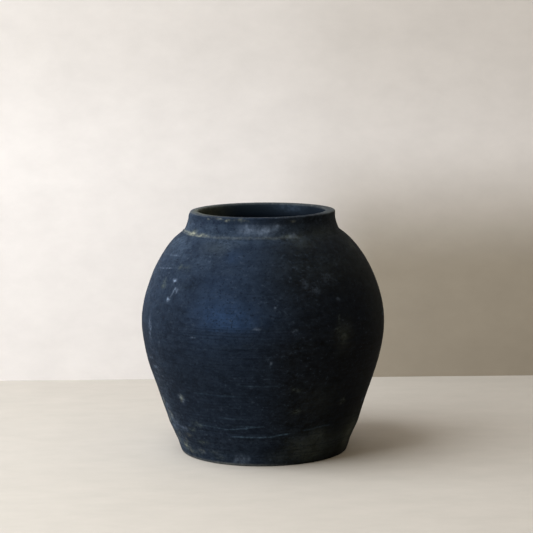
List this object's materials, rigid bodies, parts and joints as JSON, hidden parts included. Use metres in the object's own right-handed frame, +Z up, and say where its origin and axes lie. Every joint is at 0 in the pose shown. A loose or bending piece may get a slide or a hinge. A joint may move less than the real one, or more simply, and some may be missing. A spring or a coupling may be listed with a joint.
{
  "type": "black clay jar",
  "caption": "Wide-bellied black clay jar with a flat base, scraped foot, luted wall courses, short collared neck and plain thick lip, for storing or displaying things.",
  "frame": {"origin": "centre of the standing face", "axes": "+Z up along the axis of the jar; -Y faces the viewer of the picture"},
  "size_m": [0.28, 0.28, 0.278],
  "materials": {
    "black_clay": "matte blue-black reduction-fired clay with fine turning lines and chalky scuffs",
    "dried_slip": "matte dried slip, paler and rougher than the wall"
  },
  "bodies": {
    "root": {"base_slab": "black_clay", "base_slip_seam": "dried_slip", "floor_fillet_coil": "black_clay", "foot_coil": "black_clay", "foot_slip_seam": "dried_slip", "lower_wall": "black_clay", "waist_slip_seam": "dried_slip", "belly_wall": "black_clay", "belly_slip_seam": "dried_slip", "shoulder_wall": "black_clay", "shoulder_slip_seam": "dried_slip", "closing_wall": "black_clay", "neck_slip_seam": "dried_slip", "neck_collar": "black_clay", "lip_slip_seam": "dried_slip", "lip_coil": "black_clay"}
  },
  "joints": []
}
